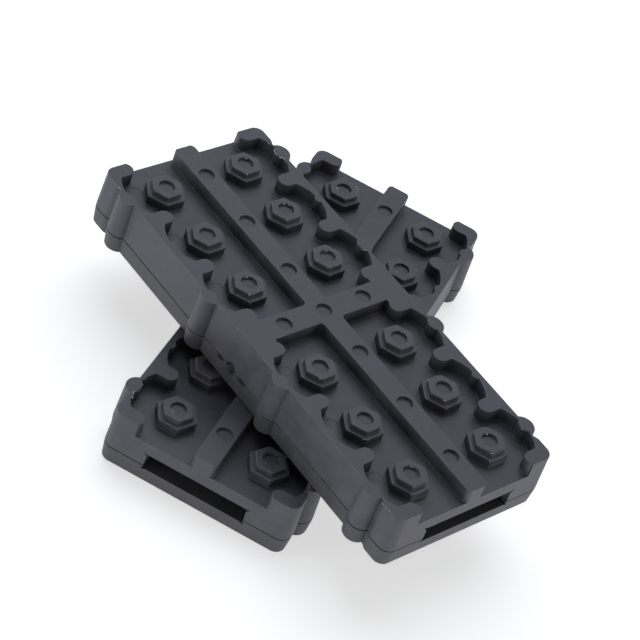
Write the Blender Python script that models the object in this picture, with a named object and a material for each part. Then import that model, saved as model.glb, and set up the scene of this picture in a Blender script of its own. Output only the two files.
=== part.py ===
"""A pair of strap-on tyre traction mats, one laid across the other.

Each mat is two mouldings screwed together from below: a tread with hexagonal
studs on top, and a base under it. A flat strap channel runs between the two,
from end to end. Metres, +Z up. The origin is the middle of the lower mat's
underside, and +X runs along the upper mat.
"""

from math import acos, cos, hypot, pi, radians, sin, sqrt

import bmesh
import bpy
from mathutils import Vector

# Overall size of one mat, over its straight walls at the top.
mat_length = 0.240
mat_width = 0.097
mat_height = 0.032
corner_radius = 0.005
tread_draft = 0.001         # how much further out the walls stand at the seam
base_taper = 0.0007         # how much the base draws in from the seam down

# The joint between the tread and the base.
seam_height = 0.010
fit_gap = 0.0003            # between any two pieces that meet

# The strap channel, cut partly from the base and mostly from the tread.
channel_width = 0.0535      # at the seam, where it is widest
channel_draft = 0.0003      # how much its walls lean in by its floor and its ceiling
channel_height = 0.0092
channel_floor = 0.0084      # height of its floor above the ground

# Studs: two hexagons of different size, one on the other, in three rows each
# side of the cross rib and one column each side of the long rib.
stud_pitch = 0.035
first_row = 0.029           # from the middle of the mat
column_offset = 0.0247      # from the middle of the mat
rows_per_side = 3
large_hexagon = 0.0187      # across flats
small_hexagon = 0.0144      # across flats
ledge_drop = 0.0028         # from the top down to the ledge between the two
pocket_depth = 0.0078

# Ribs between the four pockets, and the round dimples in ribs and studs.
long_rib_width = 0.012
cross_rib_width = 0.013
pocket_corner_radius = 0.002
dimple_diameter = 0.0082
dimple_depth = 0.0008

# The side walls' inner outline: an arc round every stud, a round-tipped finger
# half way between two rows, and a small bump opposite each stud.
scallop_radius = 0.0211
finger_width = 0.0084
finger_tip = 0.0338         # from the middle of the mat
bump_tip = 0.0441           # from the middle of the mat
bump_radius = 0.0032

# Half-round pillars on the long walls, at the first and the last stud rows.
pillar_radius = 0.007
pillar_reach = 0.004        # how far a pillar stands out of the wall

# Screws, driven from below into the pillars.
shank_diameter = 0.004
screw_length = 0.0185       # over all
head_diameter = 0.008
head_height = 0.0026
head_recess = 0.0006        # from the ground up to the head
head_clearance = 0.0006     # around the head
tip_clearance = 0.0006      # beyond the point
recess_width = 0.0011       # one arm of the cross recess
recess_span = 0.0042
recess_depth = 0.0014

# How the two mats lie.
crossing_angle = radians(118)           # from the upper mat to the lower one
upper_centre = (0.021, -0.019)

# Sides of round shapes.
arc_steps = 6
round_sides = 12

overlap = 0.001             # how far joined shapes run into each other
overshoot = 0.002           # how far a cutter runs past the face it opens

pocket_floor = mat_height - pocket_depth
row_places = [first_row + row * stud_pitch for row in range(rows_per_side)]
pillar_places = (row_places[-1], row_places[0])
pillar_centre = mat_width / 2 + pillar_reach - pillar_radius


def clear_scene():
    for item in list(bpy.data.objects):
        bpy.data.objects.remove(item)


def arc(centre, radius, start, end, steps=arc_steps):
    """Points on an arc, both ends included, with angles from +X."""
    turns = [start + (end - start) * step / steps for step in range(steps + 1)]
    return [(centre[0] + radius * cos(turn), centre[1] + radius * sin(turn)) for turn in turns]


def polygon(sides, across_flats, centre, first_angle):
    """A regular polygon, counter-clockwise, with its first corner at first_angle."""
    radius = across_flats / 2 / cos(pi / sides)
    angles = [first_angle + 2 * pi * side / sides for side in range(sides)]
    return [(centre[0] + radius * cos(angle), centre[1] + radius * sin(angle)) for angle in angles]


def circle(diameter, centre=(0, 0)):
    radius = diameter / 2
    angles = [2 * pi * side / round_sides for side in range(round_sides)]
    return [(centre[0] + radius * cos(angle), centre[1] + radius * sin(angle)) for angle in angles]


def rectangle(length, width):
    x = length / 2
    y = width / 2
    return [(-x, -y), (x, -y), (x, y), (-x, y)]


def mirrored(points, flip_x, flip_y):
    """The same outline in another quarter of the mat, still counter-clockwise."""
    turned = [(x * flip_x, y * flip_y) for x, y in points]
    if flip_x * flip_y < 0:
        turned.reverse()
    return turned


def add_rings(shape, rings):
    """Adds a closed body through rings of (points, height), all of one length."""
    loops = [[shape.verts.new((x, y, height)) for x, y in points] for points, height in rings]
    shape.faces.new(list(reversed(loops[0])))
    shape.faces.new(loops[-1])
    for lower, upper in zip(loops, loops[1:]):
        for here in range(len(lower)):
            following = (here + 1) % len(lower)
            shape.faces.new((lower[here], lower[following], upper[following], upper[here]))


def ring_object(name, bodies):
    """A linked object that holds one closed body for each list of rings."""
    shape = bmesh.new()
    for rings in bodies:
        add_rings(shape, rings)
    mesh = bpy.data.meshes.new(name)
    shape.to_mesh(mesh)
    shape.free()
    item = bpy.data.objects.new(name, mesh)
    bpy.context.collection.objects.link(item)
    return item


def add_boolean(body, tool, operation):
    modifier = body.modifiers.new(tool.name, "BOOLEAN")
    modifier.operation = operation
    modifier.solver = "EXACT"
    modifier.object = tool
    tool.hide_render = True
    tool.display_type = "WIRE"


def finished_mesh(body, tools):
    """The mesh of a body after its Booleans. The body and its tools go."""
    depsgraph = bpy.context.evaluated_depsgraph_get()
    mesh = bpy.data.meshes.new_from_object(body.evaluated_get(depsgraph))
    mesh.name = body.name
    for item in (body, *tools):
        bpy.data.objects.remove(item)
    return mesh


def wall_outline(grow):
    """The outside of a mat, with its walls moved out by grow."""
    half_length = mat_length / 2
    half_width = mat_width / 2
    spread = acos((pillar_radius - pillar_reach + grow) / (pillar_radius + grow))
    corner_x = half_length - corner_radius
    corner_y = half_width - corner_radius
    side = arc((corner_x, corner_y), corner_radius + grow, 0, pi / 2)
    for place in (*pillar_places, *(-place for place in reversed(pillar_places))):
        start = pi / 2 - spread
        end = pi / 2 + spread
        side += arc((place, pillar_centre), pillar_radius + grow, start, end)
    side += arc((-corner_x, corner_y), corner_radius + grow, pi / 2, pi)
    return side + [(-x, -y) for x, y in side]


def scallop(row):
    """The wall round one stud, from the finger before it to the finger after it."""
    centre = (row, column_offset)
    finger_side = stud_pitch / 2 - finger_width / 2
    far = acos(finger_side / scallop_radius)
    bump_centre = bump_tip + bump_radius
    reach = bump_centre - column_offset
    along = (scallop_radius ** 2 - bump_radius ** 2 + reach ** 2) / (2 * reach)
    half_chord = sqrt(scallop_radius ** 2 - along ** 2)
    near = acos(half_chord / scallop_radius)
    bump_turn = acos(half_chord / bump_radius)
    before = arc(centre, scallop_radius, pi - far, pi - near, arc_steps // 2)
    bump = arc((row, bump_centre), bump_radius, pi + bump_turn, 2 * pi - bump_turn)
    after = arc(centre, scallop_radius, near, far, arc_steps // 2)
    return before + bump[1:-1] + after


def pocket_outline():
    """The pocket in the quarter with positive X and Y, open at the mat's end."""
    rib_side = long_rib_width / 2
    cross_side = cross_rib_width / 2
    open_end = mat_length / 2 + tread_draft + overshoot
    finger_radius = finger_width / 2
    finger_centre = finger_tip + finger_radius
    finger_places = [row + stud_pitch / 2 for row in row_places]
    first_finger = row_places[0] - stud_pitch / 2
    first_tip = arc((first_finger, finger_centre), finger_radius, 5 * pi / 4, 2 * pi)
    contour = [(cross_side, first_tip[0][1]), *first_tip]
    for row, finger in zip(row_places, finger_places):
        contour += scallop(row)
        last = finger is finger_places[-1]
        tip_end = 7 * pi / 4 if last else 2 * pi
        contour += arc((finger, finger_centre), finger_radius, pi, tip_end)
    contour.append((open_end, contour[-1][1]))
    contour.append((open_end, rib_side))
    inner = (cross_side + pocket_corner_radius, rib_side + pocket_corner_radius)
    contour += arc(inner, pocket_corner_radius, 3 * pi / 2, pi, arc_steps // 2)
    contour.reverse()
    return contour


def screw_places():
    return [(x * side_x, pillar_centre * side_y)
            for side_y in (-1, 1) for side_x in (-1, 1) for x in pillar_places]


def stud_places():
    return [(x * side_x, column_offset * side_y)
            for side_y in (-1, 1) for side_x in (-1, 1) for x in row_places]


def dimple_places():
    """Dimples over the long rib in line with each row, at its middle, and on the cross rib."""
    on_rib = [(x * side, 0) for side in (-1, 1) for x in row_places]
    return [(0, 0), (0, -column_offset), (0, column_offset), *on_rib, *stud_places()]


def channel_rings():
    length = mat_length + 2 * (tread_draft + overshoot)
    wide = rectangle(length, channel_width)
    narrow = rectangle(length, channel_width - 2 * channel_draft)
    ceiling = channel_floor + channel_height
    return [(narrow, channel_floor), (wide, seam_height), (narrow, ceiling)]


def tread_mesh():
    low = seam_height + fit_gap / 2
    rings = [(wall_outline(tread_draft), low), (wall_outline(0), mat_height)]
    body = ring_object("tread", [rings])

    pocket = pocket_outline()
    above = mat_height + overshoot
    quarters = [(1, 1), (-1, 1), (-1, -1), (1, -1)]
    hollows = []
    for flip_x, flip_y in quarters:
        outline = mirrored(pocket, flip_x, flip_y)
        hollows.append([(outline, pocket_floor), (outline, above)])
    hollows.append(channel_rings())
    pilot = shank_diameter + 2 * fit_gap
    pilot_top = head_recess + screw_length + tip_clearance
    for place in screw_places():
        outline = circle(pilot, place)
        hollows.append([(outline, low - overshoot), (outline, pilot_top)])
    hollow = ring_object("tread_hollows", hollows)
    add_boolean(body, hollow, "DIFFERENCE")

    studs = []
    for place in stud_places():
        large = polygon(6, large_hexagon, place, pi / 2)
        small = polygon(6, small_hexagon, place, pi / 2)
        ledge = mat_height - ledge_drop
        foot = pocket_floor - overlap
        studs.append([(large, foot), (large, ledge), (small, ledge), (small, mat_height)])
    stud = ring_object("studs", studs)
    add_boolean(body, stud, "UNION")

    dimples = []
    for place in dimple_places():
        outline = circle(dimple_diameter, place)
        dimples.append([(outline, mat_height - dimple_depth), (outline, above)])
    dimple = ring_object("dimples", dimples)
    add_boolean(body, dimple, "DIFFERENCE")
    return finished_mesh(body, (hollow, stud, dimple))


def base_mesh():
    high = seam_height - fit_gap / 2
    rings = [(wall_outline(tread_draft - base_taper), 0), (wall_outline(tread_draft), high)]
    body = ring_object("base", [rings])

    hollows = [channel_rings()]
    seat = head_recess + head_height + fit_gap
    for place in screw_places():
        wide = circle(head_diameter + 2 * head_clearance, place)
        narrow = circle(shank_diameter + 2 * fit_gap, place)
        above = high + overshoot
        hollows.append([(wide, -overshoot), (wide, seat), (narrow, seat), (narrow, above)])
    hollow = ring_object("base_hollows", hollows)
    add_boolean(body, hollow, "DIFFERENCE")
    return finished_mesh(body, (hollow,))


def screw_mesh():
    """A pan-head tapping screw, head down, with the head's face at height 0."""
    rim = head_height / 4
    point = screw_length - shank_diameter / 2
    rings = [
        (circle(head_diameter - 2 * rim), 0),
        (circle(head_diameter), rim),
        (circle(head_diameter), head_height),
        (circle(shank_diameter), head_height),
        (circle(shank_diameter), point),
        (circle(shank_diameter / 4), screw_length),
    ]
    body = ring_object("screw", [rings])
    arm = recess_width / 2
    span = recess_span / 2
    cross = [(arm, arm), (arm, span), (-arm, span), (-arm, arm), (-span, arm), (-span, -arm),
             (-arm, -arm), (-arm, -span), (arm, -span), (arm, -arm), (span, -arm), (span, arm)]
    recess = ring_object("cross_recess", [[(cross, -overshoot), (cross, recess_depth)]])
    add_boolean(body, recess, "DIFFERENCE")
    return finished_mesh(body, (recess,))


def material(name, colour, roughness, metallic):
    finish = bpy.data.materials.new(name)
    finish.use_nodes = True
    shader = finish.node_tree.nodes["Principled BSDF"]
    shader.inputs["Base Color"].default_value = (*colour, 1)
    shader.inputs["Roughness"].default_value = roughness
    shader.inputs["Metallic"].default_value = metallic
    return finish


def place_piece(name, mesh, finish, carrier, place):
    item = bpy.data.objects.new(name, mesh)
    bpy.context.collection.objects.link(item)
    if not mesh.materials:
        mesh.materials.append(finish)
    item.parent = carrier
    item.location = place
    mesh.set_sharp_from_angle(angle=radians(30))
    return item


def place_mat(name, meshes, finishes, centre, height, turn):
    """One mat: an empty that holds its tread, its base and its screws."""
    carrier = bpy.data.objects.new(name + "_mat", None)
    bpy.context.collection.objects.link(carrier)
    carrier.location = Vector((*centre, height))
    carrier.rotation_euler = (0, 0, turn)
    place_piece(name + "_tread", meshes["tread"], finishes["tread"], carrier, (0, 0, 0))
    place_piece(name + "_base", meshes["base"], finishes["base"], carrier, (0, 0, 0))
    for number, (x, y) in enumerate(screw_places(), start=1):
        spot = (x, y, head_recess)
        place_piece(f"{name}_screw_{number}", meshes["screw"], finishes["screw"], carrier, spot)


def main():
    clear_scene()
    meshes = {"tread": tread_mesh(), "base": base_mesh(), "screw": screw_mesh()}
    finishes = {
        "tread": material("tread_plastic", (0.085, 0.085, 0.095), 0.55, 0),
        "base": material("base_plastic", (0.075, 0.076, 0.082), 0.6, 0),
        "screw": material("screw_steel", (0.55, 0.55, 0.56), 0.35, 1),
    }
    place_mat("lower", meshes, finishes, (0, 0), 0, crossing_angle)
    place_mat("upper", meshes, finishes, upper_centre, mat_height + fit_gap, 0)


main()
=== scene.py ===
from math import acos, atan2, cos, pi, radians, sin, sqrt

import bmesh
import bpy
from mathutils import Matrix, Vector


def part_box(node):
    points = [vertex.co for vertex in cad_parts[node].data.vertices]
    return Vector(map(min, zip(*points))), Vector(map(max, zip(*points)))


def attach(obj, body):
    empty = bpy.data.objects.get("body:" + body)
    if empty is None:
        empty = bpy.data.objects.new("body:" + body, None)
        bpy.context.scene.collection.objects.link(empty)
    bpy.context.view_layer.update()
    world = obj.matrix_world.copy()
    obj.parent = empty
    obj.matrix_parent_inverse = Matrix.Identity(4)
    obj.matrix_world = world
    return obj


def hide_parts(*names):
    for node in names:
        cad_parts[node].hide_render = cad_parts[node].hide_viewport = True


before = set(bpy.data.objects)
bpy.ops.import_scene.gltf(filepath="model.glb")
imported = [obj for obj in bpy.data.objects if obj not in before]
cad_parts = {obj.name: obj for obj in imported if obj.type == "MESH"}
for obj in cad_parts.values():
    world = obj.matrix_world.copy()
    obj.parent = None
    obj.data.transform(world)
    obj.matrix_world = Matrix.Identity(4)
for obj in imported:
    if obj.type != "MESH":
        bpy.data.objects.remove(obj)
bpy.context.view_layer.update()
matNames = ("lower", "upper")
screwNumbers = range(1, 9)


# Where the two mats lie, read from their screws: screws 1 and 3 stand in one line along a mat.

def nodeMiddle(node):
    low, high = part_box(node)
    return (Vector(low) + Vector(high)) / 2


def matPlace(name):
    screws = [nodeMiddle(f"{name}_screw_{number}") for number in screwNumbers]
    middle = sum(screws, Vector()) / len(screws)
    along = screws[2] - screws[0]
    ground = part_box(f"{name}_base")[0][2]
    turn = Matrix.Rotation(atan2(along.y, along.x), 4, "Z")
    return Matrix.Translation((middle.x, middle.y, ground)) @ turn


places = {name: matPlace(name) for name in matNames}

# One mat, in metres, with its middle at the origin and its underside at height 0.
mat = {
    "length": 0.240, "width": 0.097, "height": 0.032, "cornerRadius": 0.005,
    "draft": 0.001, "baseTaper": 0.0007, "seam": 0.010, "gap": 0.0003, "seamGap": 0.0005,
    "pillarRadius": 0.0061, "pillarReach": 0.004, "screwInset": 0.003,
    "notchDepth": 0.0013, "notchWidth": 0.0042, "notchSteps": (1, 0.8, 0.6, 0.4, 0.2),
    "firstRow": 0.029, "pitch": 0.035, "rowCount": 3, "column": 0.0247,
}
rounding = {
    "top": 0.0003, "foot": 0.0005, "seam": 0.0003, "ground": 0.0007, "steps": 4,
    "cornerSteps": 14,      # for each corner and pillar of the mat's outline
}
pocket = {
    "depth": 0.0078, "longRib": 0.012, "crossRib": 0.013, "cornerRadius": 0.002,
    "ribEndRadius": 0.0030, "fingerWidth": 0.0084, "fingerTip": 0.0338,
    # radius of the wall round a stud, then the tip and the radius of the bump half way along it
    "plainScallop": (0.0211, 0.0441, 0.0032), "pillarScallop": (0.0227, 0.0449, 0.0042),
}
rows = [mat["firstRow"] + mat["pitch"] * row for row in range(mat["rowCount"])]
pillarRows = (rows[-1], rows[0])
pillarMiddle = mat["width"] / 2 + mat["pillarReach"] - mat["pillarRadius"]
screwLine = mat["width"] / 2 - mat["screwInset"]
top = mat["height"]
topPoint = places["upper"].translation + Vector((0, 0, top))
pocketFloor = top - pocket["depth"]
overshoot = 0.002      # how far a cutting tool reaches past the body it cuts
mitreLimit = 0.6       # keeps a mitre from running far out at a sharp corner
upToAlong = Matrix(((0, 0, 1, 0), (1, 0, 0, 0), (0, 1, 0, 0), (0, 0, 0, 1)))     # z to x, x to y, y to z


# Outlines, all counter-clockwise.

def arc(middle, radius, start, end, steps):
    turns = [start + (end - start) * step / steps for step in range(steps + 1)]
    return [(middle[0] + radius * cos(turn), middle[1] + radius * sin(turn)) for turn in turns]


def circlePoints(radius, count, middle=(0, 0)):
    return arc(middle, radius, 0, 2 * pi * (count - 1) / count, count - 1)


def grown(points, distance):
    # moves an outline out by a distance, with mitred corners
    moved = []
    for here in range(len(points)):
        before, at, after = (Vector(points[(here + step) % len(points)]) for step in (-1, 0, 1))
        first = (at - before).normalized()
        second = (after - at).normalized()
        normal = Vector((first.y + second.y, -first.x - second.x))
        reach = max(normal.length_squared / 2, mitreLimit)
        moved.append(tuple(at + normal * (distance / reach)))
    return moved


def wallOutline(grow):
    # the mat's outline with its pillars, and a hollow between each end pillar and the corner block
    steps = rounding["cornerSteps"]
    x = mat["length"] / 2 - mat["cornerRadius"]
    y = mat["width"] / 2 - mat["cornerRadius"]
    radius = mat["pillarRadius"] + grow
    wall = mat["width"] / 2 + grow
    narrow = acos((wall - pillarMiddle) / radius)
    wide = acos((wall - mat["notchDepth"] - pillarMiddle) / radius)
    side = arc((x, y), mat["cornerRadius"] + grow, 0, pi / 2, steps)
    foot = pillarRows[0] + radius * sin(wide)
    notch = [(foot + mat["notchWidth"] * part, wall - mat["notchDepth"] * (1 + cos(pi * part)) / 2)
             for part in mat["notchSteps"]]
    side += notch
    for place in (*pillarRows, *(-place for place in reversed(pillarRows))):
        before = wide if place == pillarRows[0] else narrow
        after = wide if place == -pillarRows[0] else narrow
        side += arc((place, pillarMiddle), radius, pi / 2 - before, pi / 2 + after, steps)
    side += [(-px, py) for px, py in reversed(notch)]
    side += arc((-x, y), mat["cornerRadius"] + grow, pi / 2, pi, steps)
    return side + [(-px, -py) for px, py in side]


def scallop(row):
    # the wall round one stud, between two fingers, with its small bump half way
    radius, tip, bend = pocket["pillarScallop" if row in pillarRows else "plainScallop"]
    far = acos((mat["pitch"] - pocket["fingerWidth"]) / 2 / radius)
    bumpMiddle = tip + bend
    reach = bumpMiddle - mat["column"]
    along = (radius ** 2 - bend ** 2 + reach ** 2) / (2 * reach)
    halfChord = sqrt(radius ** 2 - along ** 2)
    near = acos(halfChord / radius)
    bumpTurn = acos(halfChord / bend)
    centre = (row, mat["column"])
    bump = arc((row, bumpMiddle), bend, pi + bumpTurn, 2 * pi - bumpTurn, steps=12)
    before = arc(centre, radius, pi - far, pi - near, steps=8)
    return before + bump[1:-1] + arc(centre, radius, near, far, steps=8)


def pocketOutline():
    # the pocket in the quarter with positive x and y, open at the mat's end
    rib = pocket["longRib"] / 2
    cross = pocket["crossRib"] / 2
    end = mat["length"] / 2
    openEnd = end + mat["draft"] + overshoot
    radius = pocket["fingerWidth"] / 2
    tipMiddle = pocket["fingerTip"] + radius
    firstTip = arc((rows[0] - mat["pitch"] / 2, tipMiddle), radius, 5 * pi / 4, 2 * pi, steps=9)
    contour = [(cross, firstTip[0][1]), *firstTip]
    for row in rows:
        contour += scallop(row)
        stop = 7 * pi / 4 if row == rows[-1] else 2 * pi
        contour += arc((row + mat["pitch"] / 2, tipMiddle), radius, pi, stop, steps=12)
    contour.append((openEnd, contour[-1][1]))
    bend = pocket["ribEndRadius"]
    ribEnd = arc((end + mat["gap"] - bend, rib - bend), bend, 0, pi / 2, steps=10)
    contour += [(openEnd, rib - bend), *ribEnd]
    corner = (cross + pocket["cornerRadius"], rib + pocket["cornerRadius"])
    contour += arc(corner, pocket["cornerRadius"], 3 * pi / 2, pi, steps=6)
    contour.reverse()
    return contour


def mirrored(points, flipX, flipY):
    turned = [(x * flipX, y * flipY) for x, y in points]
    if flipX * flipY < 0:
        turned.reverse()
    return turned


def inQuarters(xs, y):
    return [(x * sideX, y * sideY) for sideY in (-1, 1) for sideX in (-1, 1) for x in xs]


# Closed bodies from stacked outlines. Profiles are lists of (outwards, height).

def addRings(shape, rings):
    loops = [[shape.verts.new((x, y, height)) for x, y in points] for points, height in rings]
    shape.faces.new(list(reversed(loops[0])))
    shape.faces.new(loops[-1])
    for lower, upper in zip(loops, loops[1:]):
        for here in range(len(lower)):
            after = (here + 1) % len(lower)
            shape.faces.new((lower[here], lower[after], upper[after], upper[here]))


def newObject(name, data):
    item = bpy.data.objects.new(name, data)
    bpy.context.collection.objects.link(item)
    return item


def ringObject(name, bodies):
    shape = bmesh.new()
    for rings in bodies:
        addRings(shape, rings)
    mesh = bpy.data.meshes.new(name)
    shape.to_mesh(mesh)
    shape.free()
    return newObject(name, mesh)


def turnPairs(radius):
    # a quarter of a circle, as (inwards, upwards) pairs
    steps = rounding["steps"]
    turns = [pi / 2 * step / steps for step in range(steps + 1)]
    return [(radius * (1 - cos(turn)), radius * sin(turn)) for turn in turns]


def roundOver(outwards, height, radius):
    # from an upright side in to a flat face on top
    return [(outwards - side, height - radius + rise) for side, rise in turnPairs(radius)]


def roundUnder(outwards, height, radius):
    # from a flat face underneath out to an upright side
    return [(outwards - side, height + radius - rise) for side, rise in reversed(turnPairs(radius))]


def fillet(outwards, height, radius):
    # from a flat face in to an upright side that stands on it
    return [(outwards + radius - rise, height + side) for side, rise in turnPairs(radius)]


def evaluatedMesh(item):
    depsgraph = bpy.context.evaluated_depsgraph_get()
    return bpy.data.meshes.new_from_object(item.evaluated_get(depsgraph))


def keepEvaluated(item):
    mesh = evaluatedMesh(item)
    item.modifiers.clear()
    old = item.data
    item.data = mesh
    bpy.data.meshes.remove(old)


def combine(body, tools):
    # tools are (object, operation) pairs; the body keeps the result and the tools go
    for tool, operation in tools:
        modifier = body.modifiers.new(tool.name, "BOOLEAN")
        modifier.operation = operation
        modifier.solver = "EXACT"
        modifier.object = tool
    keepEvaluated(body)
    for tool, operation in tools:
        bpy.data.objects.remove(tool)


# Nodes, for geometry and for shaders alike.

def newNode(tree, kind, inputs, **settings):
    # inputs say what goes into each socket, by its name or number: a value or another node's socket
    node = tree.nodes.new(kind)
    for setting, value in settings.items():
        setattr(node, setting, value)
    for socket, value in inputs.items():
        if isinstance(value, bpy.types.NodeSocket):
            tree.links.new(value, node.inputs[socket])
        else:
            node.inputs[socket].default_value = value
    return node


def calculate(tree, operation, first, second):
    return newNode(tree, "ShaderNodeMath", {0: first, 1: second}, operation=operation).outputs[0]


# Geometry Nodes. Both trees put copies of one object at points, turn them a little at random, and end
# in Realize Instances and Set Material.

def newTree(name, counts, sizes):
    tree = bpy.data.node_groups.new(name, "GeometryNodeTree")
    sockets = [("Geometry", "Geometry"), ("Copy", "Object"), *((title, "Int") for title in counts),
               *((title, "Float") for title in sizes), ("Seed", "Int"), ("Finish", "Material")]
    for title, kind in sockets:
        tree.interface.new_socket(title, in_out="INPUT", socket_type="NodeSocket" + kind)
    tree.interface.new_socket("Geometry", in_out="OUTPUT", socket_type="NodeSocketGeometry")
    return tree, tree.nodes.new("NodeGroupInput").outputs


def joined(tree, first, second):
    both = newNode(tree, "GeometryNodeJoinGeometry", {0: first})
    tree.links.new(second, both.inputs[0])
    return both.outputs[0]


def vectorOf(tree, **parts):
    return newNode(tree, "ShaderNodeCombineXYZ", parts).outputs[0]


def namedNumber(tree, name):
    number = newNode(tree, "GeometryNodeInputNamedAttribute", {"Name": name}, data_type="FLOAT")
    return number.outputs["Attribute"]


def randomNumber(tree, low, high, seed):
    return newNode(tree, "FunctionNodeRandomValue", {2: low, 3: high, "Seed": seed}).outputs[1]


def randomTwist(tree, inputs):
    least = calculate(tree, "MULTIPLY", inputs["Twist"], -1)
    return randomNumber(tree, least, inputs["Twist"], inputs["Seed"])


def copiesAt(tree, inputs, points, turn):
    copy = newNode(tree, "GeometryNodeObjectInfo", {"Object": inputs["Copy"]}).outputs["Geometry"]
    return newNode(tree, "GeometryNodeInstanceOnPoints",
                   {"Points": points, "Instance": copy, "Rotation": vectorOf(tree, Z=turn)})


def realised(tree, copies):
    return newNode(tree, "GeometryNodeRealizeInstances", {0: copies}).outputs[0]


def finishTree(tree, inputs, geometry):
    finish = newNode(tree, "GeometryNodeSetMaterial",
                     {"Geometry": geometry, "Material": inputs["Finish"]})
    newNode(tree, "NodeGroupOutput", {0: finish.outputs[0]})


def runTree(item, tree, values):
    # the object keeps the tree's result as a plain mesh
    modifier = item.modifiers.new(tree.name, "NODES")
    modifier.node_group = tree
    for socket in tree.interface.items_tree:
        if socket.in_out == "INPUT" and socket.name in values:
            modifier[socket.identifier] = values[socket.name]
    keepEvaluated(item)


def rowsTree():
    # copies in rows along both long sides; points marked "ragged" are moved sideways a little
    tree, inputs = newTree("Mat rows", ["Rows"], ["First Row", "Pitch", "Column", "Shift X", "Shift Y",
                                                  "Twist", "Ragged", "Ragged Scale"])
    start = vectorOf(tree, X=inputs["First Row"], Y=inputs["Column"])
    step = vectorOf(tree, X=inputs["Pitch"])
    shift = vectorOf(tree, X=inputs["Shift X"], Y=inputs["Shift Y"])
    line = newNode(tree, "GeometryNodeMeshLine",
                   {"Count": inputs["Rows"], "Start Location": start, "Offset": step}).outputs[0]
    flipped = newNode(tree, "GeometryNodeTransform", {"Geometry": line, "Scale": (-1, 1, 1)})
    moved = newNode(tree, "GeometryNodeTransform",
                    {"Geometry": joined(tree, line, flipped.outputs[0]), "Translation": shift})
    near = copiesAt(tree, inputs, moved.outputs[0], randomTwist(tree, inputs)).outputs[0]
    opposite = newNode(tree, "GeometryNodeTransform", {"Geometry": near, "Rotation": (0, 0, pi)})
    copies = realised(tree, joined(tree, near, opposite.outputs[0]))
    uneven = newNode(tree, "ShaderNodeTexNoise",
                     {"Detail": 3, "Scale": inputs["Ragged Scale"], "W": inputs["Seed"]},
                     noise_dimensions="4D")
    centred = newNode(tree, "ShaderNodeVectorMath",
                      {0: uneven.outputs["Color"], 1: (0.5, 0.5, 0.5)}, operation="SUBTRACT")
    level = newNode(tree, "ShaderNodeVectorMath",
                    {0: centred.outputs[0], 1: (1, 1, 0)}, operation="MULTIPLY")
    amount = calculate(tree, "MULTIPLY", namedNumber(tree, "ragged"), inputs["Ragged"])
    offset = newNode(tree, "ShaderNodeVectorMath",
                     {0: level.outputs[0], "Scale": amount}, operation="SCALE")
    torn = newNode(tree, "GeometryNodeSetPosition", {"Geometry": copies, "Offset": offset.outputs[0]})
    finishTree(tree, inputs, torn.outputs[0])
    return tree


rowsOfCopies = rowsTree()
rowsSeed = 7


def laidInRows(name, copy, finish, sizes):
    # a plain mesh object with all the copies; the object that was copied goes
    item = ringObject(name, [])
    values = {"Copy": copy, "Finish": finish, "Rows": mat["rowCount"], "First Row": mat["firstRow"],
              "Pitch": mat["pitch"], "Column": mat["column"], "Seed": rowsSeed}
    runTree(item, rowsOfCopies, {**values, **sizes})
    bpy.data.objects.remove(copy)
    return item


# Shader groups that the finishes share.

wearAndHighlights = {
    # the second, coarser grain: its scale and its height, as shares of the fine one's
    "coarseScale": 0.3, "coarseHeight": 0.8,
    # where each pattern's noise starts to show and where it is full
    "mottle": (0.25, 0.75), "speckle": (0.62, 0.8), "breaks": (0.35, 0.7), "burrs": (0.66, 0.72),
    "glintPatches": (0.56, 0.64), "scuffs": (0.7, 0.78),
    # how upright a rounding's normal is, from where it starts to count as an edge to where it stops
    "slanted": (0.12, 0.4), "flat": (0.9, 0.98),
    "breaksLeast": 0.35, "patchScale": 0.25,
    "scuffTurns": (0.4, 1.7, 2.6), "scuffStretch": (1, 26, 6),
}


def shaderGroup(name, vectors, numbers, outputs):
    group = bpy.data.node_groups.new(name, "ShaderNodeTree")
    face = group.interface
    for title in vectors:
        face.new_socket(title, in_out="INPUT", socket_type="NodeSocketVector")
    for title, value in numbers.items():
        face.new_socket(title, in_out="INPUT", socket_type="NodeSocketFloat").default_value = value
    for title in outputs:
        face.new_socket(title, in_out="OUTPUT", socket_type="NodeSocketFloat")
    return group, group.nodes.new("NodeGroupInput").outputs, group.nodes.new("NodeGroupOutput").inputs


def noise(tree, place, scale, detail, roughness=0.55):
    inputs = {"Vector": place, "Scale": scale, "Detail": detail, "Roughness": roughness}
    return newNode(tree, "ShaderNodeTexNoise", inputs).outputs["Fac"]


def spread(tree, value, low, high, toLow=0.0, toHigh=1.0):
    inputs = {"Value": value, "From Min": low, "From Max": high, "To Min": toLow, "To Max": toHigh}
    return newNode(tree, "ShaderNodeMapRange", inputs, interpolation_type="SMOOTHSTEP").outputs["Result"]


def mixColour(tree, factor, first, second):
    return newNode(tree, "ShaderNodeMix", {0: factor, 6: first, 7: second}, data_type="RGBA").outputs[2]


def grainGroup():
    # fine moulded grain: a height, a slow mottle from -1 to 1, and the grain's highest specks
    group, inputs, outputs = shaderGroup("Moulded grain", ["Vector"],
                                         {"Grain Scale": 1500, "Mottle Scale": 90},
                                         ["Height", "Mottle", "Speckle"])
    fine = noise(group, inputs["Vector"], inputs["Grain Scale"], detail=2, roughness=0.6)
    coarseScale = calculate(group, "MULTIPLY", inputs["Grain Scale"], wearAndHighlights["coarseScale"])
    coarse = noise(group, inputs["Vector"], coarseScale, detail=2)
    coarseHeight = calculate(group, "MULTIPLY", coarse, wearAndHighlights["coarseHeight"])
    group.links.new(calculate(group, "ADD", fine, coarseHeight), outputs["Height"])
    slow = noise(group, inputs["Vector"], inputs["Mottle Scale"], detail=4, roughness=0.6)
    group.links.new(spread(group, slow, *wearAndHighlights["mottle"], -1, 1), outputs["Mottle"])
    group.links.new(spread(group, fine, *wearAndHighlights["speckle"]), outputs["Speckle"])
    return group


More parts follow.
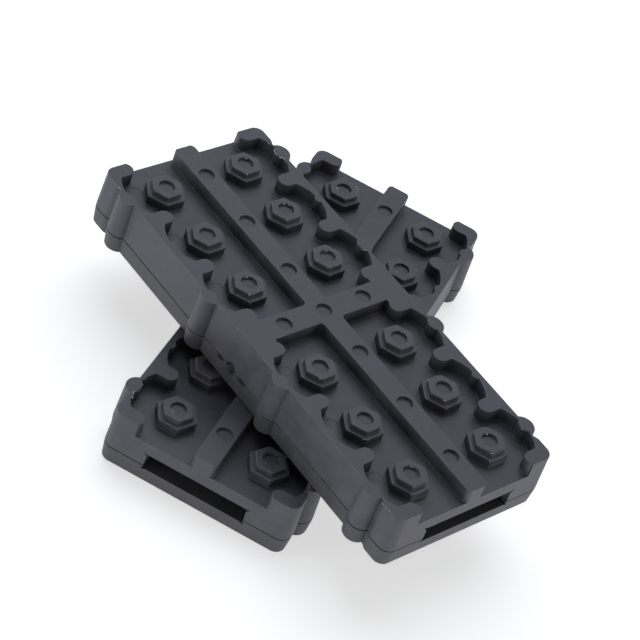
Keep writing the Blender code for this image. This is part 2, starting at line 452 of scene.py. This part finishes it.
def edgeHighlightGroup():
    # painted highlight: 1 on the small roundings between flat faces and upright sides, broken up along
    # their length; the second output marks rarer spots on them for painted glints
    group, inputs, outputs = shaderGroup("Rubbed edges", ["Vector", "Normal"],
                                         {"Break Scale": 220, "Strength": 1}, ["Mask", "Burr"])
    parts = newNode(group, "ShaderNodeSeparateXYZ", {0: inputs["Normal"]})
    lean = calculate(group, "ABSOLUTE", parts.outputs["Z"], 0)
    slanted = calculate(group, "MULTIPLY", spread(group, lean, *wearAndHighlights["slanted"]),
                        spread(group, lean, *wearAndHighlights["flat"], 1, 0))
    broken = noise(group, inputs["Vector"], inputs["Break Scale"], detail=3, roughness=0.7)
    mask = calculate(group, "MULTIPLY", slanted,
                     spread(group, broken, *wearAndHighlights["breaks"], wearAndHighlights["breaksLeast"], 1))
    group.links.new(calculate(group, "MULTIPLY", mask, inputs["Strength"]), outputs["Mask"])
    patchScale = calculate(group, "MULTIPLY", inputs["Break Scale"], wearAndHighlights["patchScale"])
    rare = noise(group, inputs["Vector"], patchScale, detail=1)
    burrs = calculate(group, "MULTIPLY", spread(group, broken, *wearAndHighlights["burrs"]),
                      spread(group, rare, *wearAndHighlights["glintPatches"]))
    group.links.new(calculate(group, "MULTIPLY", slanted, burrs), outputs["Burr"])
    return group


def scuffGroup():
    # thin rub marks that run every way
    group, inputs, outputs = shaderGroup("Scuffs", ["Vector"], {"Scale": 60}, ["Mask"])
    total = None
    for turn in wearAndHighlights["scuffTurns"]:
        turned = newNode(group, "ShaderNodeMapping", {
            "Vector": inputs["Vector"], "Rotation": (0, 0, turn), "Scale": wearAndHighlights["scuffStretch"]})
        streaks = noise(group, turned.outputs[0], inputs["Scale"], detail=2)
        lines = spread(group, streaks, *wearAndHighlights["scuffs"])
        total = lines if total is None else calculate(group, "MAXIMUM", total, lines)
    group.links.new(total, outputs["Mask"])
    return group


grain = grainGroup()
paintedEdgeHighlights = edgeHighlightGroup()
scuffs = scuffGroup()


def useGroup(tree, group, inputs):
    return newNode(tree, "ShaderNodeGroup", inputs, node_tree=group).outputs


def newMaterial(name, metallic):
    material = bpy.data.materials.new(name)
    material.use_nodes = True
    shader = material.node_tree.nodes["Principled BSDF"]
    shader.inputs["Metallic"].default_value = metallic
    return material, material.node_tree, shader


def addBump(tree, shader, height, look):
    bump = newNode(tree, "ShaderNodeBump", {
        "Height": height, "Strength": look["bump"], "Distance": look["bumpDistance"]})
    tree.links.new(bump.outputs["Normal"], shader.inputs["Normal"])


plastic = {
    "tread": {"dark": (0.058, 0.059, 0.0745), "light": (0.079, 0.080, 0.101),
              "roughness": 0.52, "seed": 0.0},
    "base": {"dark": (0.055, 0.056, 0.067), "light": (0.071, 0.072, 0.085),
             "roughness": 0.58, "seed": 3.1},
    # the splinters' colour: near-white, a painted glint on real flash
    "torn": {"dark": (0.45, 0.45, 0.48), "light": (0.80, 0.80, 0.84),
             "roughness": 0.36, "seed": 5.3},
    # the edge colour is a painted highlight on the roundings and the burr colour a painted glint on
    # them; the scuff colour is the plastic's own rub marks and grain specks
    "edge": (0.22, 0.222, 0.255), "burrGlint": (0.62, 0.62, 0.66), "scuff": (0.12, 0.121, 0.14),
    "grainScale": 1500, "mottleScale": 110, "breakScale": 240, "scuffScale": 34,
    "edgeHighlightShare": 0.55, "speckleShare": 0.35, "scuffShare": 0.3, "burrGlintShare": 0.8,
    "roughnessRange": 0.06, "burrGloss": 0.2, "bump": 0.34, "bumpDistance": 0.0002,
}
zinc = {
    "dark": (0.50, 0.50, 0.49), "light": (0.62, 0.62, 0.64), "speck": (0.35, 0.33, 0.3),
    "speckShare": 0.5, "roughness": (0.3, 0.45), "grainScale": 2600, "mottleScale": 500,
    "bump": 0.1, "bumpDistance": 0.0001,
}


def plasticMaterial(name, look):
    material, tree, shader = newMaterial(name, 0)
    place = tree.nodes.new("ShaderNodeTexCoord").outputs
    shifted = newNode(tree, "ShaderNodeMapping", {
        "Vector": place["Object"], "Location": (look["seed"], look["seed"], 0)}).outputs["Vector"]
    surface = useGroup(tree, grain, {"Vector": shifted, "Grain Scale": plastic["grainScale"],
                                     "Mottle Scale": plastic["mottleScale"]})
    edges = useGroup(tree, paintedEdgeHighlights, {"Vector": shifted, "Normal": place["Normal"],
                                         "Break Scale": plastic["breakScale"],
                                         "Strength": plastic["edgeHighlightShare"]})
    rubs = useGroup(tree, scuffs, {"Vector": shifted, "Scale": plastic["scuffScale"]})
    tone = spread(tree, surface["Mottle"], -1, 1)
    colour = mixColour(tree, tone, (*look["dark"], 1), (*look["light"], 1))
    # grain specks and scuffs are the plastic's own marks; the edge layer is a painted highlight and the
    # burr layer painted glints
    layers = [(calculate(tree, "MULTIPLY", surface["Speckle"], plastic["speckleShare"]), "scuff"),
              (calculate(tree, "MULTIPLY", rubs["Mask"], plastic["scuffShare"]), "scuff"),
              (edges["Mask"], "edge"),
              (calculate(tree, "MULTIPLY", edges["Burr"], plastic["burrGlintShare"]), "burrGlint")]
    for mask, layer in layers:
        colour = mixColour(tree, mask, colour, (*plastic[layer], 1))
    tree.links.new(colour, shader.inputs["Base Color"])
    rough = spread(tree, surface["Mottle"], -1, 1, look["roughness"] - plastic["roughnessRange"],
                   look["roughness"] + plastic["roughnessRange"])
    gloss = calculate(tree, "MULTIPLY", edges["Burr"], plastic["burrGloss"])
    tree.links.new(calculate(tree, "SUBTRACT", rough, gloss), shader.inputs["Roughness"])
    addBump(tree, shader, surface["Height"], plastic)
    return material


def steelMaterial():
    material, tree, shader = newMaterial("zinc plated steel", 1)
    place = tree.nodes.new("ShaderNodeTexCoord").outputs["Object"]
    surface = useGroup(tree, grain, {"Vector": place, "Grain Scale": zinc["grainScale"],
                                     "Mottle Scale": zinc["mottleScale"]})
    tone = spread(tree, surface["Mottle"], -1, 1)
    colour = mixColour(tree, tone, (*zinc["dark"], 1), (*zinc["light"], 1))
    specks = calculate(tree, "MULTIPLY", surface["Speckle"], zinc["speckShare"])
    rough = spread(tree, surface["Mottle"], -1, 1, *zinc["roughness"])
    tree.links.new(mixColour(tree, specks, colour, (*zinc["speck"], 1)), shader.inputs["Base Color"])
    tree.links.new(rough, shader.inputs["Roughness"])
    addBump(tree, shader, surface["Height"], zinc)
    return material


treadPlastic = plasticMaterial("tread plastic", plastic["tread"])
basePlastic = plasticMaterial("base plastic", plastic["base"])
splinterGlintPlastic = plasticMaterial("torn plastic", plastic["torn"])
steel = steelMaterial()
print("materials ready")


# The tread: walls, four pockets, ribs and twelve studs.

stud = {
    "large": 0.0187, "small": 0.0144, "ledge": 0.0028, "corner": 0.0007, "sides": 60,
    "edge": 0.00045, "foot": 0.0004, "ledgeFoot": 0.00025,
    "dimple": 0.0082, "dimpleDepth": 0.0015, "dimpleEdge": 0.0002, "ribDimpleSides": 40, "sunk": 0.001,
    "ragged": 0.0011, "raggedScale": 1100.0, "twist": radians(0.5),
}
floorMark = {
    "radius": 0.0047, "depth": 0.00013, "along": 0.0073, "across": 0.0126,
    "flare": 0.0001, "above": 0.0002, "sides": 36,
}
channel = {
    "width": 0.0535, "lean": 0.0003, "floor": 0.0084, "height": 0.0092, "nick": 0.0021,
    # the nicks' outlines, from the corners of the channel and in nick lengths: (outwards, up)
    "lowerNick": ((-0.8, 0), (0.6, -0.5), (0, 0.6)),
    "upperNick": ((0, -0.75), (0.6, -0.2), (0.8, 0.45), (0.1, 0), (-1, 0)),
}


def hexagonRadius(acrossFlats, corner, turn):
    # distance from the middle to the side of a hexagon with rounded corners, corners towards y
    flat = acrossFlats / 2
    lean = abs((turn + pi / 6) % (pi / 3) - pi / 6)      # from the middle of the nearest side
    if flat * sin(lean) / cos(lean) < (flat - corner) / sqrt(3):
        return flat / cos(lean)
    reach = (flat - corner) / cos(pi / 6)
    off = pi / 6 - lean
    return reach * cos(off) + sqrt(corner ** 2 - (reach * sin(off)) ** 2)


def hexagonPoints(acrossFlats, outwards):
    points = []
    for side in range(stud["sides"]):
        turn = 2 * pi * side / stud["sides"]
        radius = hexagonRadius(acrossFlats + 2 * outwards, stud["corner"], turn)
        points.append((radius * cos(turn), radius * sin(turn)))
    return points


def dimpleProfile():
    # from the flat face down into a shallow round dimple, as (radius, height) pairs
    radius = stud["dimple"] / 2
    edge = stud["dimpleEdge"]
    floor = top - stud["dimpleDepth"]
    rim = [(radius + (edge - side), top - edge + rise) for side, rise in reversed(turnPairs(edge))]
    bottom = [(radius - side, floor + edge - rise) for side, rise in turnPairs(edge)]
    return rim, bottom


def studObject():
    ledge = top - stud["ledge"]
    outer = [(stud["foot"], pocketFloor - stud["sunk"]), *fillet(0, pocketFloor, stud["foot"]),
             *roundOver(0, ledge, stud["edge"])]
    inner = [*fillet(0, ledge, stud["ledgeFoot"]), *roundOver(0, top, stud["edge"])]
    rings = [(hexagonPoints(stud["large"], out), height) for out, height in outer]
    rings += [(hexagonPoints(stud["small"], out), height) for out, height in inner]
    rim, bottom = dimpleProfile()
    rings += [(circlePoints(radius, stud["sides"]), height) for radius, height in [*rim, *bottom]]
    item = ringObject("stud", [rings])
    ragged = item.data.attributes.new("ragged", "FLOAT", "POINT")
    firstRim = (len(rings) - len(rim) - len(bottom)) * stud["sides"]
    for here in range(firstRim, firstRim + len(rim) * stud["sides"]):
        ragged.data[here].value = 1
    return item


def ribDimple(place):
    rim, bottom = dimpleProfile()
    sides = [*reversed(bottom), *reversed(rim)]
    above = (sides[-1][0], top + overshoot)
    return [(circlePoints(radius, stud["ribDimpleSides"], place), height)
            for radius, height in [*sides, above]]


def pocketRings(outline):
    foot = [(rise - rounding["foot"], pocketFloor + side) for side, rise in turnPairs(rounding["foot"])]
    edge = rounding["top"]
    rim = [(side, top - edge + rise) for side, rise in turnPairs(edge)]
    profile = [*foot, *rim, (edge, top + overshoot)]
    return [(grown(outline, out), height) for out, height in profile]


def channelCutter():
    # its cross-section stands across the mat, with a pointed nick at each corner
    half = channel["width"] / 2
    narrow = half - channel["lean"]
    low = channel["floor"]
    high = low + channel["height"]
    nick = channel["nick"]
    right = [(narrow + nick * out, low + nick * up) for out, up in channel["lowerNick"]]
    right.append((half, mat["seam"]))
    right += [(narrow + nick * out, high + nick * up) for out, up in channel["upperNick"]]
    outline = right + [(-across, height) for across, height in reversed(right)]
    reach = mat["length"] / 2 + mat["draft"] + overshoot
    item = ringObject("channel", [[(outline, -reach), (outline, reach)]])
    item.data.transform(upToAlong)
    return item


gateMark = {
    "along": -0.0006, "sides": 36,
    "bottom": 0.75,      # size of a pit's bottom, as a share of its mouth
    # place from the middle, half length, half height and depth of each pit
    "pits": [(0, 0.0038, 0.0038, 0.0036), (-0.0085, 0.0038, 0.0013, 0.0016),
             (0.0089, 0.0044, 0.0013, 0.0016)],
}


def gateCutter():
    # a round scar on the front wall, across the seam, with a torn pit on each side of it
    wall = mat["width"] / 2 + mat["draft"]
    circle = circlePoints(1, gateMark["sides"])
    pits = []
    for place, length, height, depth in gateMark["pits"]:
        levels = ((gateMark["bottom"], wall - depth), (1, wall), (1, wall + overshoot))
        pits.append([([(place + x * scale * length, y * scale * height) for x, y in circle], out)
                     for scale, out in levels])
    item = ringObject("gate scar", pits)
    middle = Matrix.Translation((gateMark["along"], 0, mat["seam"]))
    item.data.transform(middle @ Matrix.Rotation(pi / 2, 4, "X"))
    return item


def wallRings(profile):
    return [(wallOutline(out), height) for out, height in profile]


def treadObject():
    low = mat["seam"] + mat["seamGap"] / 2
    side = [*roundUnder(mat["draft"], low, rounding["seam"]), *roundOver(0, top, rounding["top"])]
    body = ringObject("tread", [wallRings(side)])
    outline = pocketOutline()
    turns = ((1, 1), (-1, 1), (-1, -1), (1, -1))
    pockets = ringObject("pockets", [pocketRings(mirrored(outline, *turn)) for turn in turns])
    ribPlaces = [(0, 0), (0, -mat["column"]), (0, mat["column"])]
    ribPlaces += [(x * side, 0) for side in (-1, 1) for x in rows]
    dimples = ringObject("dimples", [ribDimple(place) for place in ribPlaces])
    combine(body, [(pockets, "DIFFERENCE"), (dimples, "DIFFERENCE"), (channelCutter(), "DIFFERENCE"),
                   (gateCutter(), "DIFFERENCE"), (screwHoles(low), "DIFFERENCE")])
    mark = [(circlePoints(floorMark["radius"] + flare, floorMark["sides"]), pocketFloor + rise)
            for flare, rise in ((0, -floorMark["depth"]), (floorMark["flare"], floorMark["above"]))]
    marks = laidInRows("floor marks", ringObject("floor mark", [mark]), treadPlastic,
                       {"Shift X": floorMark["along"], "Shift Y": floorMark["across"]})
    studs = laidInRows("studs", studObject(), treadPlastic, {
        "Twist": stud["twist"], "Ragged": stud["ragged"], "Ragged Scale": stud["raggedScale"]})
    combine(body, [(marks, "DIFFERENCE"), (studs, "UNION")])
    return body


# Splinters of plastic left along the sharp edges by the mould, coloured near-white as painted glints.

burrGlint = {
    "length": 0.0017, "thick": 0.00026, "bend": 0.0005, "sides": 5, "under": 0.00036,
    "rings": (0, 0.2, 0.5, 0.75, 1), "leastThick": 0.15,      # as shares of the length and thickness
    "share": 0.55, "smallest": 0.45, "largest": 1.25, "twist": 0.8,
    # steps along a corner block, and which points of the end and middle scallops have splinters
    "blockSteps": 9, "outerPart": slice(7, 9), "endPart": slice(5, 25), "middlePart": slice(6, 12),
    "seeds": {"lower": 11, "upper": 12},
    # turns at the studs and dimples where splinters go, on the sides whose painted glints show from the
    # camera
    "studTurns": [radians(turn) for turn in (325, 329, 334)],
    "dimpleTurns": [radians(turn) for turn in (120, 140, 160)],
}


def splinterObject():
    # a bent splinter along x, thickest in the middle
    rings = []
    for part in burrGlint["rings"]:
        thick = burrGlint["thick"] * max(sin(pi * part), burrGlint["leastThick"])
        bend = burrGlint["bend"] * sin(pi * part)
        rings.append((circlePoints(thick, burrGlint["sides"], (bend, 0)), burrGlint["length"] * (part - 0.5)))
    item = ringObject("splinter", [rings])
    item.data.transform(upToAlong)
    return item


def alongEdge(points, height):
    # places half way between neighbouring points, with the way that the edge runs there
    found = []
    for (x, y), (nextX, nextY) in zip(points, points[1:]):
        place = ((x + nextX) / 2, (y + nextY) / 2, height)
        found.append((place, atan2(nextY - y, nextX - x)))
    return found


def burrPlaces():
    height = top - burrGlint["under"]
    x = mat["length"] / 2 - mat["cornerRadius"]
    y = mat["width"] / 2
    end = scallop(rows[-1])
    steps = burrGlint["blockSteps"]
    blockSide = [(x - (x - rows[-1] - mat["pillarRadius"]) * (step / steps), y)
                 for step in range(steps + 1)]
    outer = alongEdge(blockSide, height) + alongEdge(end[burrGlint["outerPart"]], height)
    inner = alongEdge(end[burrGlint["endPart"]], height)
    inner += alongEdge(scallop(rows[0])[burrGlint["middlePart"]], height)
    places = []
    # far quarters get splinters on the inner edges and near quarters on the outer edges, where their
    # painted glints face the camera
    for flipX, flipY, edges in ((1, 1, inner), (-1, 1, inner), (-1, -1, outer), (1, -1, outer)):
        for (along, across, level), turn in edges:
            direction = atan2(sin(turn) * flipY, cos(turn) * flipX)
            places.append(((along * flipX, across * flipY, level), direction))
    levels = ((stud["small"], height), (stud["large"], height - stud["ledge"]))
    spots = [(turn, hexagonRadius(across, stud["corner"], turn), level)
             for turn in burrGlint["studTurns"] for across, level in levels]
    spots += [(turn, stud["dimple"] / 2, height) for turn in burrGlint["dimpleTurns"]]
    for middleX, middleY in inQuarters(rows, mat["column"]):
        for turn, reach, level in spots:
            place = (middleX + reach * cos(turn), middleY + reach * sin(turn), level)
            places.append((place, turn + pi / 2))
    return places


def splintersTree():
    # a splinter at some of the points, lying the way that the number "turn" of each point says
    tree, inputs = newTree("Splinters", [], ["Share", "Smallest", "Largest", "Twist"])
    chosen = newNode(tree, "FunctionNodeRandomValue",
                     {"Probability": inputs["Share"], "Seed": inputs["Seed"]}, data_type="BOOLEAN")
    turn = calculate(tree, "ADD", namedNumber(tree, "turn"), randomTwist(tree, inputs))
    size = randomNumber(tree, inputs["Smallest"], inputs["Largest"], inputs["Seed"])
    placed = copiesAt(tree, inputs, inputs["Geometry"], turn)
    tree.links.new(chosen.outputs[3], placed.inputs["Selection"])
    tree.links.new(size, placed.inputs["Scale"])
    finishTree(tree, inputs, realised(tree, placed.outputs[0]))
    return tree


splinters = splintersTree()


def burrObject(seed):
    found = burrPlaces()
    mesh = bpy.data.meshes.new("burrs")
    mesh.from_pydata([place for place, turn in found], [], [])
    turns = mesh.attributes.new("turn", "FLOAT", "POINT")
    for here, (place, turn) in enumerate(found):
        turns.data[here].value = turn
    item = newObject("burrs", mesh)
    copy = splinterObject()
    values = {"Copy": copy, "Share": burrGlint["share"], "Smallest": burrGlint["smallest"],
              "Largest": burrGlint["largest"], "Twist": burrGlint["twist"], "Seed": seed, "Finish": splinterGlintPlastic}
    runTree(item, splinters, values)
    bpy.data.objects.remove(copy)
    return item


# The base under it, and the screws that hold the two together.

screw = {
    "length": 0.0185, "shank": 0.004, "sides": 28, "twist": radians(50),
    "head": 0.008, "headHeight": 0.0026, "headRound": 0.0009, "headEdge": 0.0002, "headSteps": 5,
    "thread": 0.0004, "threadPitch": 0.0014, "threadSharpness": 3.2, "threadSteps": 84, "fadeSteps": 8,
    "point": 0.003, "pointSteps": 16, "tip": 0.0003,
    "recessSpan": 0.0042, "recessArm": 0.0011, "recessDepth": 0.0016,
    "recessMouth": 1.12, "recessFloor": 0.55, "armTaper": 0.4,
    # its hole in the base and the pilot hole in the tread
    "headRecess": 0.0006, "around": 0.0006, "beyond": 0.0006, "mouthEdge": 0.0004,
    "holeSides": 40, "pilotSides": 24,
}
screwPlaces = inQuarters(pillarRows, screwLine)


def roundHoles(name, profile, sides):
    return ringObject(name, [[(circlePoints(radius, sides, place), height) for radius, height in profile]
                             for place in screwPlaces])


def screwHoles(low):
    pilot = screw["shank"] / 2 + mat["gap"]
    end = screw["headRecess"] + screw["length"] + screw["beyond"]
    return roundHoles("pilot holes", [(pilot, low - overshoot), (pilot, end)], screw["pilotSides"])


def baseObject():
    high = mat["seam"] - mat["seamGap"] / 2
    inner = mat["draft"] - mat["baseTaper"]
    side = [*roundUnder(inner, 0, rounding["ground"]), *roundOver(mat["draft"], high, rounding["seam"])]
    body = ringObject("base", [wallRings(side)])
    wide = screw["head"] / 2 + screw["around"]
    narrow = screw["shank"] / 2 + mat["gap"]
    seat = screw["headRecess"] + screw["headHeight"] + mat["gap"]
    edge = screw["mouthEdge"]
    mouth = [(wide + edge, -overshoot), (wide + edge, 0)]
    mouth += [(wide + edge - rise, side) for side, rise in turnPairs(edge)][1:]
    profile = [*mouth, (wide, seat), (narrow, seat), (narrow, high + overshoot)]
    holes = roundHoles("screw holes", profile, screw["holeSides"])
    combine(body, [(channelCutter(), "DIFFERENCE"), (gateCutter(), "DIFFERENCE"), (holes, "DIFFERENCE")])
    return body


def threadPoints(height, radius, depth):
    points = []
    for side in range(screw["sides"]):
        turn = 2 * pi * side / screw["sides"]
        phase = (height / screw["threadPitch"] - turn / (2 * pi)) % 1
        crest = max(0, 1 - abs(phase - 0.5) * screw["threadSharpness"])
        out = radius - depth + depth * crest
        points.append((out * cos(turn), out * sin(turn)))
    return points


def crossPoints(scale):
    # the outline of the cross recess at one depth; its arms taper less than its span
    arm = screw["recessArm"] / 2 * (1 - screw["armTaper"] + screw["armTaper"] * scale)
    span = screw["recessSpan"] / 2 * scale
    quarter = [(arm, arm), (arm, span), (-arm, span)]
    outline = []
    for _ in range(4):
        outline += quarter
        quarter = [(-y, x) for x, y in quarter]
    return outline


def screwObject():
    # head down, with the head's face at height 0
    radius = screw["head"] / 2
    shank = screw["shank"] / 2
    start = screw["headHeight"]
    rim = screw["headRound"]
    edge = screw["headEdge"]
    core = shank - screw["thread"]
    bends = [pi / 2 * step / screw["headSteps"] for step in range(screw["headSteps"] + 1)]
    profile = [(radius - rim + rim * sin(bend), rim - rim * cos(bend)) for bend in bends]
    profile += [(radius, start - edge), (radius - edge, start), (core, start)]
    rings = [(circlePoints(out, screw["sides"]), height) for out, height in profile]
    straight = screw["length"] - screw["point"]
    steps = screw["threadSteps"]
    for step in range(1, steps + 1):
        height = start + (straight - start) * step / steps
        depth = screw["thread"] * min(1, step / screw["fadeSteps"])
        rings.append((threadPoints(height, core + depth, depth), height))
    for step in range(1, screw["pointSteps"] + 1):
        part = step / screw["pointSteps"]
        width = (1 - part) * (shank - screw["tip"]) + screw["tip"]
        depth = screw["thread"] * (1 - part)
        height = straight + (screw["length"] - straight) * part
        rings.append((threadPoints(height, width, depth), height))
    body = ringObject("screw", [rings])
    levels = ((screw["recessMouth"], -overshoot / 4), (1, 0),
              (screw["recessFloor"], screw["recessDepth"]))
    cross = [(crossPoints(scale), height) for scale, height in levels]
    combine(body, [(ringObject("cross recess", [cross]), "DIFFERENCE")])
    body.data.transform(Matrix.Translation((0, 0, screw["headRecess"])))
    return body


# Finishing: welded, shaded smooth across the small roundings, and laid where the mat lies.

finishing = {"weld": 1e-6, "smoothUpTo": radians(38)}


def finishPiece(item, finish):
    shape = bmesh.new()
    shape.from_mesh(item.data)
    bmesh.ops.remove_doubles(shape, verts=shape.verts, dist=finishing["weld"])
    bmesh.ops.dissolve_degenerate(shape, dist=finishing["weld"], edges=shape.edges)
    shape.to_mesh(item.data)
    shape.free()
    item.data.materials.clear()
    item.data.materials.append(finish)
    item.data.shade_smooth()
    item.data.set_sharp_from_angle(angle=finishing["smoothUpTo"])
    weighted = item.modifiers.new("weighted", "WEIGHTED_NORMAL")
    weighted.keep_sharp = True
    keepEvaluated(item)
    return item


def matPiece(source, matName, pieceName, nodes):
    mesh = source.data.copy()
    mesh.transform(places[matName])
    piece = newObject(f"{matName}_{pieceName}", mesh)
    mesh.name = piece.name
    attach(piece, "root")
    if nodes:
        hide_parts(*[f"{matName}_{node}" for node in nodes])


tread = finishPiece(treadObject(), treadPlastic)
print("tread", len(tread.data.polygons))
base = finishPiece(baseObject(), basePlastic)
print("base", len(base.data.polygons))
screws = laidInRows("screws", finishPiece(screwObject(), steel), steel, {
    "Rows": len(pillarRows), "Pitch": pillarRows[0] - pillarRows[1], "Column": screwLine,
    "Twist": screw["twist"]})
print("screws", len(screws.data.polygons))
for name in matNames:
    matPiece(tread, name, "tread_moulding", ["tread"])
    matPiece(base, name, "base_moulding", ["base"])
    matPiece(screws, name, "screws", [f"screw_{number}" for number in screwNumbers])
    burrs = finishPiece(burrObject(burrGlint["seeds"][name]), splinterGlintPlastic)
    matPiece(burrs, name, "burrs", [])
    print(name, "burrs", len(burrs.data.polygons))
    bpy.data.objects.remove(burrs)
for source in (tread, base, screws):
    bpy.data.objects.remove(source)
print("pieces placed")


# Floor, lights and camera.

studio = {
    "floor": 0.92, "floorSize": 6, "floorRoughness": 0.9, "glow": 0.55,
    "horizon": 1.6, "sky": 0.1, "skyFrom": 0.35, "aim": (0, 0, 0.03),
    "lights": [
        # name, place, size, power, colour
        ("key", (-0.6, 0.45, 1.4), 1.8, 15.3, (0.90, 0.92, 1.0)),
        ("right", (1.5, 0.5, 0.35), 0.7, 3.6, (1.0, 1.0, 0.98)),
        ("front", (-0.6, -1.4, 0.35), 0.7, 3, (1.0, 1.0, 0.96)),
    ],
}
view = {"azimuth": 36.823, "elevation": 42.373, "roll": 22.415, "distance": 1.11576,
        "aim": (0.00476, -0.00631), "lens": 132.35, "sensor": 36.0}


def pointedAt(place, target):
    return (Vector(target) - Vector(place)).to_track_quat("-Z", "Y").to_euler()


def addStudio():
    floor = ringObject("floor", [])
    shape = bmesh.new()
    bmesh.ops.create_grid(shape, x_segments=1, y_segments=1, size=studio["floorSize"])
    shape.to_mesh(floor.data)
    shape.free()
    material, _, shader = newMaterial("floor", 0)
    shader.inputs["Base Color"].default_value = (*[studio["floor"]] * 3, 1)
    shader.inputs["Roughness"].default_value = studio["floorRoughness"]
    shader.inputs["Emission Color"].default_value = (1, 1, 1, 1)
    shader.inputs["Emission Strength"].default_value = studio["glow"]
    floor.data.materials.append(material)
    world = bpy.data.worlds.new("studio")
    world.use_nodes = True
    sky = world.node_tree
    height = sky.nodes.new("ShaderNodeSeparateXYZ")
    sky.links.new(sky.nodes.new("ShaderNodeTexCoord").outputs["Generated"], height.inputs[0])
    brightness = spread(sky, height.outputs["Z"], 0, studio["skyFrom"], studio["horizon"], studio["sky"])
    sky.nodes["Background"].inputs["Color"].default_value = (1, 1, 1, 1)
    sky.links.new(brightness, sky.nodes["Background"].inputs["Strength"])
    bpy.context.scene.world = world
    bpy.context.scene.view_settings.view_transform = "Standard"
    for name, place, size, power, colour in studio["lights"]:
        lamp = bpy.data.lights.new(name, "AREA")
        lamp.shape = "DISK"
        lamp.size = size
        lamp.energy = power
        lamp.color = colour
        item = newObject(name, lamp)
        item.location = place
        item.rotation_euler = pointedAt(place, studio["aim"])


def addCamera():
    azimuth = radians(view["azimuth"])
    elevation = radians(view["elevation"])
    back = Vector((cos(elevation) * sin(azimuth), -cos(elevation) * cos(azimuth), sin(elevation)))
    target = topPoint + Vector((*view["aim"], 0))
    lens = bpy.data.cameras.new("camera")
    lens.lens = view["lens"]
    lens.sensor_width = view["sensor"]
    camera = newObject("camera", lens)
    level = Matrix.Rotation(azimuth, 4, "Z") @ Matrix.Rotation(pi / 2 - elevation, 4, "X")
    camera.matrix_world = (Matrix.Translation(target + back * view["distance"])
                           @ level @ Matrix.Rotation(radians(view["roll"]), 4, "Z"))
    bpy.context.scene.camera = camera


addStudio()
addCamera()
print("studio ready")
